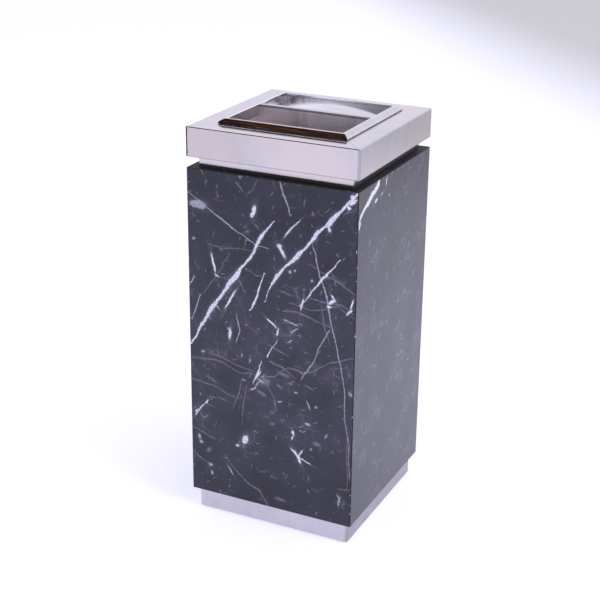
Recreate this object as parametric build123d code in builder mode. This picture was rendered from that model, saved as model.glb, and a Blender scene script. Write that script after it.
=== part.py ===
"""Ashtray bin: a square marble-clad bin with a lift-off stainless lid, ashtray insert and inner bucket.

Frame: millimetres, +Z up, front towards -Y, origin on the floor under the middle of the bin.
"""

from build123d import *
import math
import os

# ---- driving dimensions -------------------------------------------------------------------

BODY = 300.0                # outside width and depth of the stone body and of the lid
STONE = 15.0                # slab thickness
STONE_BOTTOM = 38.4         # the slabs stand on the plinth
STONE_TOP = 617.5
ARRIS = 0.8                 # small flat ground along the slabs' top and bottom edges
CORNER_FLAT = 1.7           # wider flat along the mitred vertical edges
MITRE_JOINT = 0.2           # half of the glue line in a mitred corner

PLINTH = 281.6              # outside width of the plinth
PLINTH_BOTTOM = 2.0         # the rubber feet hold the plinth this far off the floor
PLINTH_SHEET = 1.5
PLINTH_FLANGE = 22.0        # width of the flat rings welded in at the top and the bottom
PLINTH_CORNER_R = 5.0

BASE_PLATE = 3.0            # thickness of the floor plate
POST = 30.0                 # leg length of the corner angles
POST_SHEET = 3.0
GLUE = 1.0                  # adhesive between slabs and posts

FRAME_SHEET = 2.0           # top frame, an angle ring that carries the lid
FRAME_LEG = 25.0
GASKET = 4.5                # height of the rubber strip between the frame and the lid

SHEET = 1.2                 # stainless sheet of the lid
NECK = 269.2                # outside width of the neck under the cap
CAP_BOTTOM = 635.4
CAP_TOP = 683.8
CAP_CORNER_R = 1.8
CAP_EDGE_R = 1.5
TAB_WIDTH = 60.0            # locating tabs that hang into the top frame
TAB_SHEET = 1.5
TAB_DROP = 24.0

OPENING = 200.0             # clear width inside the rim of the ashtray insert
RIM_WIDTH = 12.4            # width of a rim rail
RIM_HEIGHT = 8.4            # the ridge stands this far above the cap
RIM_DROP = 10.0             # the rim's inner wall reaches this far below the cap's top face
INSERT_SHEET = 1.0
DIVIDER_FRONT = 6.0         # front face of the divider bar
DIVIDER_WIDTH = 12.6
DIVIDER_LEG = 3.0
CHUTE_DEPTH = 60.0          # litter chute, below the cap's top face
PAN_GAP = 0.7               # space around the ash pan
PAN_SHEET = 0.8
PAN_SEAT = 5.5              # the pan's underside, below the cap's top face
PAN_CROWN = 8.0             # rise of the pan's floor from its ends to its middle
PAN_TOP = 5.0               # the pan's rim, above the cap's top face
PAN_CORNER_R = 1.2

BUCKET_TOP = 234.0          # outside width at the rim
BUCKET_BOTTOM = 220.0       # outside width at the floor
BUCKET_HEIGHT = 428.0
BUCKET_SHEET = 1.0
RIM_WIRE_R = 2.0            # wire welded along the walls' top edge
RIM_WIRE_BEND = 4.0

BAIL_WIRE_R = 2.0
BAIL_ARM = 126.0            # from the pivot axis to the crossbar
BAIL_SPREAD = 253.0         # between the centre lines of the arms
BAIL_DROOP = 15.0           # degrees below level at which the bail rests on the bucket
BAIL_PIVOT_BELOW_RIM = 12.0
GRIP_R = 5.0
GRIP_LENGTH = 90.0

EAR_SHEET = 1.5
EAR_LENGTH = 48.0
EAR_BRIDGE = 24.0           # length of the raised part that holds the bail
EAR_RIVET_ALONG = 18.0
EAR_RIVET_GRIP = 3.1        # through the ear's foot and the bucket's wall
EAR_HEIGHT = 20.0
EAR_STANDOFF = 5.0          # clear space between the ear's bridge and the bucket
PIVOT_CLEARANCE = 0.08      # radial, bail wire in ear

RIVET_R = 2.0
RIVET_HEAD_R = 3.8
RIVET_HEAD = 1.2
HOLE_CLEARANCE = 0.1        # radial, around fixed screws and rivets
SCREW_R = 2.5
SCREW_HEAD_R = 4.8
SCREW_HEAD = 2.8
NUT_ACROSS_FLATS = 8.0
NUT_HEIGHT = 4.0

FOOT_R = 12.0
FOOT_STEM_R = 4.0
FOOT_BARB_R = 5.2
FOOT_BARB = 4.0
FOOT_INSET = 125.0          # distance of each foot from the bin's middle, along X and along Y

# ---- levels and half widths that follow ------------------------------------------------------

HALF = BODY / 2
STONE_INSIDE = HALF - STONE
POST_OUTSIDE = STONE_INSIDE - GLUE
POST_INSIDE = POST_OUTSIDE - POST_SHEET
POST_BOTTOM = STONE_BOTTOM + BASE_PLATE
POST_TOP = STONE_TOP - FRAME_SHEET
FRAME_INSIDE = POST_INSIDE - FRAME_SHEET
NECK_BOTTOM = STONE_TOP + GASKET
UNDER_PLATE_BOTTOM = CAP_BOTTOM + 0.4
NECK_FLANGE_INSIDE = FRAME_INSIDE - 3.0
CAP_OPENING = OPENING / 2 + SHEET + 0.8
RIDGE = CAP_TOP + RIM_HEIGHT
SCREW_LINE = 127.0          # screws' distance from the middle, square to the wall
SCREW_HALF_PITCH = 50.0     # and along the wall

FACINGS = {"front": 0, "right": 90, "back": 180, "left": 270}
EARS = {"left": 270, "right": 90}
CORNERS = {"front_left": 0, "front_right": 90, "back_right": 180, "back_left": 270}

os.makedirs("parts", exist_ok=True)


def turned(height, angle):
    """A level work plane at the given height, turned about the bin's vertical axis."""
    return Plane.XY.offset(height).rotated((0, 0, angle))


def directions(angle):
    """The level unit vectors along one of the bin's sides and outwards through it."""
    turn = math.radians(angle)
    return Vector(math.cos(turn), math.sin(turn)), Vector(math.sin(turn), -math.cos(turn))


def wall_plane(distance, level, angle):
    """An upright work plane facing outwards, at a distance from the bin's axis on one of its sides."""
    along, outwards = directions(angle)
    return Plane(origin=outwards * distance + Vector(0, 0, level), x_dir=along, z_dir=outwards)


def ring(outside, inside):
    """Draw a square ring in the current sketch, from its outside and inside half widths."""
    Rectangle(2 * outside, 2 * outside)
    Rectangle(2 * inside, 2 * inside, mode=Mode.SUBTRACT)


# ---- plinth and base -----------------------------------------------------------------------

plinth_height = STONE_BOTTOM - PLINTH_BOTTOM
plinth_cavity = PLINTH - 2 * PLINTH_SHEET
plinth_cavity_r = PLINTH_CORNER_R - PLINTH_SHEET
flange_inside = plinth_cavity - 2 * PLINTH_FLANGE
foot_spots = GridLocations(2 * FOOT_INSET, 2 * FOOT_INSET, 2, 2)
screw_spots = [
    (SCREW_LINE * side, SCREW_HALF_PITCH * along) for side in (-1, 1) for along in (-1, 1)
] + [
    (SCREW_HALF_PITCH * along, SCREW_LINE * side) for side in (-1, 1) for along in (-1, 1)
]

with BuildPart() as plinth_skirt:
    with BuildSketch(Plane.XY.offset(PLINTH_BOTTOM)):
        RectangleRounded(PLINTH, PLINTH, PLINTH_CORNER_R)
        RectangleRounded(plinth_cavity, plinth_cavity, plinth_cavity_r, mode=Mode.SUBTRACT)
    extrude(amount=plinth_height)
plinth_skirt.part.label = "plinth_skirt"
export_step(plinth_skirt.part, "parts/plinth_skirt.step")

with BuildPart() as plinth_top_ring:
    with BuildSketch(Plane.XY.offset(STONE_BOTTOM - PLINTH_SHEET)):
        RectangleRounded(plinth_cavity, plinth_cavity, plinth_cavity_r)
        Rectangle(flange_inside, flange_inside, mode=Mode.SUBTRACT)
        with Locations(*screw_spots):
            Circle(SCREW_R + HOLE_CLEARANCE, mode=Mode.SUBTRACT)
    extrude(amount=PLINTH_SHEET)
plinth_top_ring.part.label = "plinth_top_ring"
export_step(plinth_top_ring.part, "parts/plinth_top_ring.step")

with BuildPart() as plinth_foot_ring:
    with BuildSketch(Plane.XY.offset(PLINTH_BOTTOM)):
        RectangleRounded(plinth_cavity, plinth_cavity, plinth_cavity_r)
        Rectangle(flange_inside, flange_inside, mode=Mode.SUBTRACT)
        with foot_spots:
            Circle(FOOT_STEM_R + HOLE_CLEARANCE, mode=Mode.SUBTRACT)
    extrude(amount=PLINTH_SHEET)
plinth_foot_ring.part.label = "plinth_foot_ring"
export_step(plinth_foot_ring.part, "parts/plinth_foot_ring.step")

for corner, angle in CORNERS.items():
    stem_top = PLINTH_BOTTOM + PLINTH_SHEET
    with BuildPart() as rubber_foot:
        with BuildSketch(turned(0, angle)):
            with Locations((-FOOT_INSET, -FOOT_INSET)):
                Circle(FOOT_R)
        extrude(amount=PLINTH_BOTTOM)
        with BuildSketch(turned(PLINTH_BOTTOM, angle)):
            with Locations((-FOOT_INSET, -FOOT_INSET)):
                Circle(FOOT_STEM_R)
        extrude(amount=PLINTH_SHEET)
        with BuildSketch(turned(stem_top, angle)):
            with Locations((-FOOT_INSET, -FOOT_INSET)):
                Circle(FOOT_BARB_R)
        extrude(amount=FOOT_BARB, taper=20)
    rubber_foot.part.label = f"rubber_foot_{corner}"
    export_step(rubber_foot.part, f"parts/rubber_foot_{corner}.step")

with BuildPart() as base_plate:
    with BuildSketch(Plane.XY.offset(STONE_BOTTOM)):
        Rectangle(2 * POST_OUTSIDE, 2 * POST_OUTSIDE)
        with Locations(*screw_spots):
            Circle(SCREW_R + HOLE_CLEARANCE, mode=Mode.SUBTRACT)
    extrude(amount=BASE_PLATE)
base_plate.part.label = "base_plate"
export_step(base_plate.part, "parts/base_plate.step")

shank_bottom = STONE_BOTTOM - PLINTH_SHEET - NUT_HEIGHT - 1.0
with BuildPart() as base_screws:
    with BuildSketch(Plane.XY.offset(shank_bottom)):
        with Locations(*screw_spots):
            Circle(SCREW_R)
    extrude(amount=POST_BOTTOM - shank_bottom)
    with BuildSketch(Plane.XY.offset(POST_BOTTOM)):
        with Locations(*screw_spots):
            Circle(SCREW_HEAD_R)
    extrude(amount=SCREW_HEAD, taper=12)
base_screws.part.label = "base_screws"
export_step(base_screws.part, "parts/base_screws.step")

with BuildPart() as base_nuts:
    with BuildSketch(Plane.XY.offset(STONE_BOTTOM - PLINTH_SHEET - NUT_HEIGHT)):
        with Locations(*screw_spots):
            RegularPolygon(NUT_ACROSS_FLATS / 2, 6, major_radius=False)
            Circle(SCREW_R + HOLE_CLEARANCE, mode=Mode.SUBTRACT)
    extrude(amount=NUT_HEIGHT)
base_nuts.part.label = "base_nuts"
export_step(base_nuts.part, "parts/base_nuts.step")

# ---- corner posts and top frame ------------------------------------------------------------

rivet_height = POST_TOP - FRAME_LEG / 2
rivet_along = POST_OUTSIDE - POST / 2
rivet_grip = POST_SHEET + FRAME_SHEET

for corner, angle in CORNERS.items():
    with BuildPart() as corner_post:
        with BuildSketch(turned(POST_BOTTOM, angle)):
            with Locations((-POST_OUTSIDE, -POST_OUTSIDE)):
                Rectangle(POST, POST_SHEET, align=(Align.MIN, Align.MIN))
                Rectangle(POST_SHEET, POST, align=(Align.MIN, Align.MIN))
        extrude(amount=POST_TOP - POST_BOTTOM)
        for wall in (0, 270):
            with BuildSketch(wall_plane(POST_OUTSIDE, rivet_height, angle + wall)):
                with Locations((rivet_along, 0), (-rivet_along, 0)):
                    Circle(RIVET_R + HOLE_CLEARANCE)
            extrude(amount=-rivet_grip, mode=Mode.SUBTRACT)
    corner_post.part.label = f"corner_post_{corner}"
    export_step(corner_post.part, f"parts/corner_post_{corner}.step")

with BuildPart() as top_frame:
    with BuildSketch(Plane.XY.offset(STONE_TOP - FRAME_LEG)):
        ring(POST_INSIDE, FRAME_INSIDE)
    extrude(amount=FRAME_LEG)
    with BuildSketch(Plane.XY.offset(POST_TOP)):
        ring(POST_OUTSIDE + 0.5, FRAME_INSIDE)
    extrude(amount=FRAME_SHEET)
    for wall in FACINGS.values():
        with BuildSketch(wall_plane(POST_OUTSIDE, rivet_height, wall)):
            with Locations((rivet_along, 0), (-rivet_along, 0)):
                Circle(RIVET_R + HOLE_CLEARANCE)
        extrude(amount=-rivet_grip, mode=Mode.SUBTRACT)
top_frame.part.label = "top_frame"
export_step(top_frame.part, "parts/top_frame.step")

with BuildPart() as frame_rivets:
    for wall in FACINGS.values():
        with BuildSketch(wall_plane(POST_OUTSIDE, rivet_height, wall)):
            with Locations((rivet_along, 0), (-rivet_along, 0)):
                Circle(RIVET_R)
        extrude(amount=-rivet_grip)
        with BuildSketch(wall_plane(POST_OUTSIDE - rivet_grip, rivet_height, wall)):
            with Locations((rivet_along, 0), (-rivet_along, 0)):
                Circle(RIVET_HEAD_R)
        extrude(amount=-RIVET_HEAD, taper=25)
frame_rivets.part.label = "frame_rivets"
export_step(frame_rivets.part, "parts/frame_rivets.step")

# ---- stone cladding ------------------------------------------------------------------------

flat_run = (CORNER_FLAT - MITRE_JOINT) / 2
for facing, angle in FACINGS.items():
    with BuildPart() as slab:
        with BuildSketch(turned(STONE_BOTTOM, angle)):
            with BuildLine():
                right_end = Polyline(
                    (0, -HALF),
                    (HALF - CORNER_FLAT, -HALF),
                    (HALF - CORNER_FLAT + flat_run, -HALF + flat_run),
                    (STONE_INSIDE - MITRE_JOINT, -STONE_INSIDE),
                    (0, -STONE_INSIDE),
                )
                mirror(right_end, about=Plane.YZ)
            make_face()
        extrude(amount=STONE_TOP - STONE_BOTTOM)
        outer_face = slab.faces().sort_by(SortBy.AREA)[-1]
        chamfer(outer_face.edges().filter_by(Axis.Z, reverse=True), ARRIS)
    slab.part.label = f"marble_{facing}"
    export_step(slab.part, f"parts/marble_{facing}.step")

with BuildPart() as adhesive_strips:
    for wall in FACINGS.values():
        with BuildSketch(turned(POST_BOTTOM + 8, wall)):
            strip_middle = -POST_OUTSIDE - GLUE / 2
            with Locations((rivet_along, strip_middle), (-rivet_along, strip_middle)):
                Rectangle(POST - 8, GLUE)
        extrude(amount=POST_TOP - POST_BOTTOM - 50)
adhesive_strips.part.label = "adhesive_strips"
export_step(adhesive_strips.part, "parts/adhesive_strips.step")

with BuildPart() as lid_gasket:
    with BuildSketch(Plane.XY.offset(STONE_TOP)):
        ring(NECK / 2, FRAME_INSIDE)
    extrude(amount=GASKET)
lid_gasket.part.label = "lid_gasket"
export_step(lid_gasket.part, "parts/lid_gasket.step")

# ---- lid -----------------------------------------------------------------------------------

with BuildPart() as lid_cap:
    with BuildSketch(Plane.XY.offset(CAP_BOTTOM)):
        Rectangle(BODY, BODY)
    extrude(amount=CAP_TOP - CAP_BOTTOM)
    fillet(lid_cap.edges().filter_by(Axis.Z), CAP_CORNER_R)
    fillet(lid_cap.faces().sort_by(Axis.Z)[-1].edges(), CAP_EDGE_R)
    offset(amount=-SHEET, openings=lid_cap.faces().sort_by(Axis.Z)[0])
    with BuildSketch(Plane.XY.offset(CAP_TOP - SHEET)):
        Rectangle(2 * CAP_OPENING, 2 * CAP_OPENING)
    extrude(amount=SHEET, mode=Mode.SUBTRACT)
lid_cap.part.label = "lid_cap"
export_step(lid_cap.part, "parts/lid_cap.step")

with BuildPart() as lid_under_plate:
    with BuildSketch(Plane.XY.offset(UNDER_PLATE_BOTTOM)):
        RectangleRounded(
            BODY - 2 * SHEET, BODY - 2 * SHEET, CAP_CORNER_R - SHEET
        )
        Rectangle(2 * NECK_FLANGE_INSIDE, 2 * NECK_FLANGE_INSIDE, mode=Mode.SUBTRACT)
    extrude(amount=SHEET)
lid_under_plate.part.label = "lid_under_plate"
export_step(lid_under_plate.part, "parts/lid_under_plate.step")

with BuildPart() as lid_neck:
    with BuildSketch(Plane.XY.offset(NECK_BOTTOM)):
        ring(NECK / 2, NECK / 2 - SHEET)
    extrude(amount=UNDER_PLATE_BOTTOM - NECK_BOTTOM)
    with BuildSketch(Plane.XY.offset(NECK_BOTTOM)):
        ring(NECK / 2, NECK_FLANGE_INSIDE)
    extrude(amount=SHEET)
lid_neck.part.label = "lid_neck"
export_step(lid_neck.part, "parts/lid_neck.step")

for facing, angle in FACINGS.items():
    with BuildPart() as locating_tab:
        with BuildSketch(turned(NECK_BOTTOM - TAB_DROP, angle)):
            with Locations((0, -NECK_FLANGE_INSIDE)):
                Rectangle(TAB_WIDTH, TAB_SHEET, align=(Align.CENTER, Align.MAX))
        extrude(amount=TAB_DROP)
        lower_edges = locating_tab.faces().sort_by(Axis.Z)[0].edges()
        chamfer(lower_edges.sort_by(SortBy.LENGTH)[-2:], TAB_SHEET / 3)
    locating_tab.part.label = f"locating_tab_{facing}"
    export_step(locating_tab.part, f"parts/locating_tab_{facing}.step")

# ---- ashtray insert ------------------------------------------------------------------------

inside = OPENING / 2
nose_r = 2.3
nose_middle = nose_r * (1 - math.cos(math.radians(45)))
with BuildPart() as insert_rim:
    with BuildLine() as rim_path:
        Polyline(
            (inside, 0, CAP_TOP),
            (inside, inside, CAP_TOP),
            (-inside, inside, CAP_TOP),
            (-inside, -inside, CAP_TOP),
            (inside, -inside, CAP_TOP),
            close=True,
        )
    with BuildSketch(Plane(origin=(inside, 0, CAP_TOP), x_dir=(1, 0, 0), z_dir=(0, -1, 0))):
        with BuildLine():
            outer_wall = Line((0, -RIM_DROP), (0, RIM_HEIGHT))
            ridge_top = Line(outer_wall @ 1, (1.0, RIM_HEIGHT))
            crown = ThreePointArc(ridge_top @ 1, (8.2, 6.1), (RIM_WIDTH, nose_r))
            nose = ThreePointArc(
                crown @ 1, (RIM_WIDTH - nose_middle, nose_middle), (RIM_WIDTH - nose_r, 0)
            )
            Polyline(
                nose @ 1,
                (SHEET, 0),
                (SHEET, -RIM_DROP),
                outer_wall @ 0,
            )
        make_face()
    sweep(path=rim_path.line, transition=Transition.RIGHT)
insert_rim.part.label = "insert_rim"
export_step(insert_rim.part, "parts/insert_rim.step")

divider_back = DIVIDER_FRONT + DIVIDER_WIDTH
divider_top = RIDGE - 0.4
with BuildPart() as divider_bar:
    with BuildSketch(Plane.YZ.offset(-inside)) as divider_section:
        with Locations(((DIVIDER_FRONT + divider_back) / 2, divider_top)):
            Rectangle(DIVIDER_WIDTH, DIVIDER_LEG, align=(Align.CENTER, Align.MAX))
        fillet(divider_section.vertices().group_by(Axis.Y)[-1], 1.4)
        with Locations(((DIVIDER_FRONT + divider_back) / 2, divider_top - SHEET)):
            Rectangle(
                DIVIDER_WIDTH - 2 * SHEET,
                DIVIDER_LEG - SHEET,
                align=(Align.CENTER, Align.MAX),
                mode=Mode.SUBTRACT,
            )
    extrude(amount=2 * inside)
divider_bar.part.label = "divider_bar"
export_step(divider_bar.part, "parts/divider_bar.step")

divider_web = divider_top - SHEET
chute_top = CAP_TOP - RIM_DROP
chute_outside = inside + SHEET
chute_back = DIVIDER_FRONT + SHEET + INSERT_SHEET
with BuildPart() as litter_chute:
    with BuildSketch(Plane.XY.offset(CAP_TOP - CHUTE_DEPTH)):
        with Locations((0, chute_back)):
            Rectangle(2 * chute_outside, chute_back + chute_outside, align=(Align.CENTER, Align.MAX))
        with Locations((0, chute_back - INSERT_SHEET)):
            Rectangle(
                2 * inside,
                chute_back - INSERT_SHEET + inside,
                align=(Align.CENTER, Align.MAX),
                mode=Mode.SUBTRACT,
            )
    extrude(amount=CHUTE_DEPTH - RIM_DROP)
    with BuildSketch(Plane.XY.offset(chute_top)):
        with Locations((0, chute_back)):
            Rectangle(2 * inside, INSERT_SHEET, align=(Align.CENTER, Align.MAX))
    extrude(amount=divider_web - chute_top)
litter_chute.part.label = "litter_chute"
export_step(litter_chute.part, "parts/litter_chute.step")

well_front = divider_back - SHEET - INSERT_SHEET
well_back = inside
well_middle = (well_front + well_back) / 2
well_lip = 6.0
well_bottom = CAP_TOP - PAN_SEAT - INSERT_SHEET
with BuildPart() as pan_well:
    with BuildSketch(Plane.XY.offset(well_bottom)):
        with Locations((0, well_middle)):
            Rectangle(2 * inside, well_back - well_front)
            Rectangle(
                2 * inside - 2 * well_lip, well_back - well_front - 2 * well_lip, mode=Mode.SUBTRACT
            )
    extrude(amount=CAP_TOP - well_bottom)
    with BuildSketch(Plane.XY.offset(well_bottom + INSERT_SHEET)):
        with Locations((0, well_middle)):
            Rectangle(
                2 * inside - 2 * INSERT_SHEET, well_back - well_front - 2 * INSERT_SHEET
            )
    extrude(amount=CAP_TOP - well_bottom, mode=Mode.SUBTRACT)
    with BuildSketch(Plane.XY.offset(CAP_TOP)):
        with Locations((0, well_front)):
            Rectangle(2 * inside - 2 * INSERT_SHEET, INSERT_SHEET, align=(Align.CENTER, Align.MIN))
    extrude(amount=divider_web - CAP_TOP)
pan_well.part.label = "pan_well"
export_step(pan_well.part, "parts/pan_well.step")

# ---- ash pan -------------------------------------------------------------------------------

pan_half = inside - INSERT_SHEET - PAN_GAP
pan_front = divider_back + PAN_GAP
pan_back = inside - INSERT_SHEET - PAN_GAP
pan_middle = (pan_front + pan_back) / 2
pan_depth = pan_back - pan_front
pan_bottom = CAP_TOP - PAN_SEAT
pan_rim_level = CAP_TOP + PAN_TOP
with BuildPart() as ash_pan:
    with BuildSketch(Plane.XY.offset(pan_bottom)):
        with Locations((0, pan_middle)):
            RectangleRounded(2 * pan_half, pan_depth, PAN_CORNER_R)
            RectangleRounded(
                2 * pan_half - 2 * PAN_SHEET, pan_depth - 2 * PAN_SHEET, PAN_CORNER_R - PAN_SHEET,
                mode=Mode.SUBTRACT,
            )
    extrude(amount=pan_rim_level - pan_bottom)
    with BuildSketch(Plane.XZ.offset(-pan_back + PAN_SHEET / 2)):
        with BuildLine():
            underside = ThreePointArc(
                (-pan_half + PAN_SHEET / 2, pan_bottom),
                (0, pan_bottom + PAN_CROWN),
                (pan_half - PAN_SHEET / 2, pan_bottom),
            )
            topside = ThreePointArc(
                (-pan_half + PAN_SHEET / 2, pan_bottom + PAN_SHEET),
                (0, pan_bottom + PAN_CROWN + PAN_SHEET),
                (pan_half - PAN_SHEET / 2, pan_bottom + PAN_SHEET),
            )
            Line(underside @ 0, topside @ 0)
            Line(underside @ 1, topside @ 1)
        make_face()
    extrude(amount=pan_depth - PAN_SHEET)
ash_pan.part.label = "ash_pan"
export_step(ash_pan.part, "parts/ash_pan.step")

# ---- inner bucket --------------------------------------------------------------------------

bucket_floor_level = POST_BOTTOM
bucket_rim = bucket_floor_level + BUCKET_HEIGHT
wall_height = BUCKET_HEIGHT - RIM_WIRE_R
wall_lean = (BUCKET_TOP - BUCKET_BOTTOM) / 2 * wall_height / BUCKET_HEIGHT
pivot_level = bucket_rim - BAIL_PIVOT_BELOW_RIM
ear_foot = BUCKET_TOP / 2 + 0.05
wire_line = (BUCKET_TOP - BUCKET_SHEET) / 2
ear_rivet_spots = Locations((EAR_RIVET_ALONG, 0), (-EAR_RIVET_ALONG, 0))

for facing, angle in FACINGS.items():
    along, outwards = directions(angle)
    with BuildPart() as bucket_wall:
        with BuildSketch(Plane(origin=(0, 0, bucket_floor_level), x_dir=outwards, z_dir=-along)):
            with BuildLine():
                Polyline(
                    (BUCKET_BOTTOM / 2, 0),
                    (BUCKET_BOTTOM / 2 + wall_lean, wall_height),
                    (BUCKET_BOTTOM / 2 + wall_lean - BUCKET_SHEET, wall_height),
                    (BUCKET_BOTTOM / 2 - BUCKET_SHEET, 0),
                    close=True,
                )
            make_face()
        extrude(amount=BUCKET_TOP / 2, both=True)
        for mitre in (along, -along):
            split(bisect_by=Plane(origin=(0, 0, 0), z_dir=outwards + mitre), keep=Keep.TOP)
        if facing in EARS:
            with BuildSketch(wall_plane(ear_foot, pivot_level, angle)):
                with ear_rivet_spots:
                    Circle(RIVET_R + HOLE_CLEARANCE)
            extrude(amount=-3 * BUCKET_SHEET, mode=Mode.SUBTRACT)
    bucket_wall.part.label = f"bucket_wall_{facing}"
    export_step(bucket_wall.part, f"parts/bucket_wall_{facing}.step")

with BuildPart() as bucket_floor:
    with BuildSketch(Plane.XY.offset(bucket_floor_level)):
        Rectangle(BUCKET_BOTTOM - 2 * BUCKET_SHEET, BUCKET_BOTTOM - 2 * BUCKET_SHEET)
    extrude(amount=BUCKET_SHEET)
bucket_floor.part.label = "bucket_floor"
export_step(bucket_floor.part, "parts/bucket_floor.step")

with BuildPart() as bucket_rim_wire:
    with BuildLine(Plane.XY.offset(bucket_rim)) as wire_path:
        FilletPolyline(
            (-wire_line, -wire_line),
            (wire_line, -wire_line),
            (wire_line, wire_line),
            (-wire_line, wire_line),
            radius=RIM_WIRE_BEND,
            close=True,
        )
    with BuildSketch(Plane(origin=wire_path.line @ 0, z_dir=wire_path.line % 0)):
        Circle(RIM_WIRE_R)
    sweep(path=wire_path.line)
bucket_rim_wire.part.label = "bucket_rim_wire"
export_step(bucket_rim_wire.part, "parts/bucket_rim_wire.step")

ear_foot_middle = (EAR_LENGTH + EAR_BRIDGE) / 4
ear_foot_length = (EAR_LENGTH - EAR_BRIDGE) / 2
for facing, wall in EARS.items():
    with BuildPart() as bucket_ear:
        with BuildSketch(wall_plane(ear_foot, pivot_level, wall)):
            Rectangle(EAR_LENGTH, EAR_HEIGHT)
        extrude(amount=EAR_STANDOFF + EAR_SHEET)
        with BuildSketch(wall_plane(ear_foot, pivot_level, wall)):
            Rectangle(EAR_BRIDGE - 2 * EAR_SHEET, EAR_HEIGHT)
        extrude(amount=EAR_STANDOFF, mode=Mode.SUBTRACT)
        with BuildSketch(wall_plane(ear_foot + EAR_SHEET, pivot_level, wall)):
            with Locations((ear_foot_middle, 0), (-ear_foot_middle, 0)):
                Rectangle(ear_foot_length, EAR_HEIGHT)
        extrude(amount=EAR_STANDOFF, mode=Mode.SUBTRACT)
        with BuildSketch(wall_plane(ear_foot, pivot_level, wall)):
            with ear_rivet_spots:
                Circle(RIVET_R + HOLE_CLEARANCE)
            Circle(BAIL_WIRE_R + PIVOT_CLEARANCE)
        extrude(amount=EAR_STANDOFF + EAR_SHEET, mode=Mode.SUBTRACT)
    bucket_ear.part.label = f"bucket_ear_{facing}"
    export_step(bucket_ear.part, f"parts/bucket_ear_{facing}.step")

inner_wall = ear_foot - EAR_RIVET_GRIP + EAR_SHEET
with BuildPart() as ear_rivets:
    for wall in EARS.values():
        with BuildSketch(wall_plane(inner_wall, pivot_level, wall)):
            with ear_rivet_spots:
                Circle(RIVET_R)
        extrude(amount=EAR_RIVET_GRIP)
        with BuildSketch(wall_plane(inner_wall + EAR_RIVET_GRIP, pivot_level, wall)):
            with ear_rivet_spots:
                Circle(RIVET_HEAD_R)
        extrude(amount=RIVET_HEAD, taper=25)
        with BuildSketch(wall_plane(inner_wall - RIVET_HEAD, pivot_level, wall)):
            with ear_rivet_spots:
                Circle(RIVET_HEAD_R)
        extrude(amount=RIVET_HEAD)
ear_rivets.part.label = "ear_rivets"
export_step(ear_rivets.part, "parts/ear_rivets.step")

# ---- bail handle ---------------------------------------------------------------------------

droop = math.radians(BAIL_DROOP)
bail_plane = Plane(
    origin=(0, 0, pivot_level), x_dir=(1, 0, 0), z_dir=(0, math.sin(droop), -math.cos(droop))
)
arm_line = BAIL_SPREAD / 2
hook_end = ear_foot + 1.6
hook_bend = 3.0
bow_bend = 12.0
with BuildPart() as bail_handle:
    with BuildLine(bail_plane) as bail_path:
        FilletPolyline(
            (-hook_end, 0),
            (-arm_line, 0),
            (-arm_line, BAIL_ARM),
            (arm_line, BAIL_ARM),
            (arm_line, 0),
            (hook_end, 0),
            radius=[hook_bend, bow_bend, bow_bend, hook_bend],
        )
    with BuildSketch(Plane(origin=bail_path.line @ 0, z_dir=bail_path.line % 0)):
        Circle(BAIL_WIRE_R)
    sweep(path=bail_path.line)
    for wall in EARS.values():
        with BuildSketch(wall_plane(hook_end, pivot_level, wall)):
            Circle(BAIL_WIRE_R + 1.2)
        extrude(amount=1.4)
bail_handle.part.label = "bail_handle"
export_step(bail_handle.part, "parts/bail_handle.step")

grip_centre = bail_plane.from_local_coords((0, BAIL_ARM, 0))
with BuildPart() as bail_grip:
    with BuildSketch(Plane(origin=grip_centre, z_dir=(1, 0, 0))):
        Circle(GRIP_R)
        Circle(BAIL_WIRE_R + PIVOT_CLEARANCE, mode=Mode.SUBTRACT)
    extrude(amount=GRIP_LENGTH / 2, both=True)
bail_grip.part.label = "bail_grip"
export_step(bail_grip.part, "parts/bail_grip.step")
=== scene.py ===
"""Looks of the ashtray bin: stone, steel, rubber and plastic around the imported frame, in metres."""

import math

import bpy
from mathutils import Matrix, Vector


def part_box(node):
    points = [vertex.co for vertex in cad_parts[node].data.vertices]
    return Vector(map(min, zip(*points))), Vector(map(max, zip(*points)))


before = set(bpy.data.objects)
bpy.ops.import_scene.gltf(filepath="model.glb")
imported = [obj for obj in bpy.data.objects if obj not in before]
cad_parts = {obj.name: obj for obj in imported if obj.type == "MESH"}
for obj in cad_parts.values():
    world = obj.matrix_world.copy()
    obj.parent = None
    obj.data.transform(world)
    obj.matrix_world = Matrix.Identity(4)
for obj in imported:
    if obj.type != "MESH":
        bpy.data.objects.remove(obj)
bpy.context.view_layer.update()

# ---- camera ----------------------------------------------------------------------------------

CAMERA_AIM = Vector((-0.0157, -0.0059, 0.3637))
CAMERA_DISTANCE = 2.3016
CAMERA_AZIMUTH = math.radians(25.70)
CAMERA_ELEVATION = math.radians(21.60)
CAMERA_ROLL = math.radians(0.616)
CAMERA_LENS = 80.8


def add_camera():
    """The camera stands to the right of the front face and looks down a little."""
    level = Vector((math.cos(CAMERA_AZIMUTH), math.sin(CAMERA_AZIMUTH), 0))
    back = Vector((
        math.sin(CAMERA_AZIMUTH) * math.cos(CAMERA_ELEVATION),
        -math.cos(CAMERA_AZIMUTH) * math.cos(CAMERA_ELEVATION),
        math.sin(CAMERA_ELEVATION),
    ))
    upright = back.cross(level)
    right = math.cos(CAMERA_ROLL) * level + math.sin(CAMERA_ROLL) * upright
    up = back.cross(right)
    camera = bpy.data.objects.new("camera", bpy.data.cameras.new("camera"))
    camera.data.lens = CAMERA_LENS
    camera.matrix_world = Matrix.Translation(CAMERA_AIM + back * CAMERA_DISTANCE) @ Matrix(
        (right, up, back)
    ).transposed().to_4x4()
    bpy.context.scene.collection.objects.link(camera)
    bpy.context.scene.camera = camera


# ---- shader recipes ----------------------------------------------------------------------------

UNBOUNDED = 1e6  # a size along an axis that a pattern ignores


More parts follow.
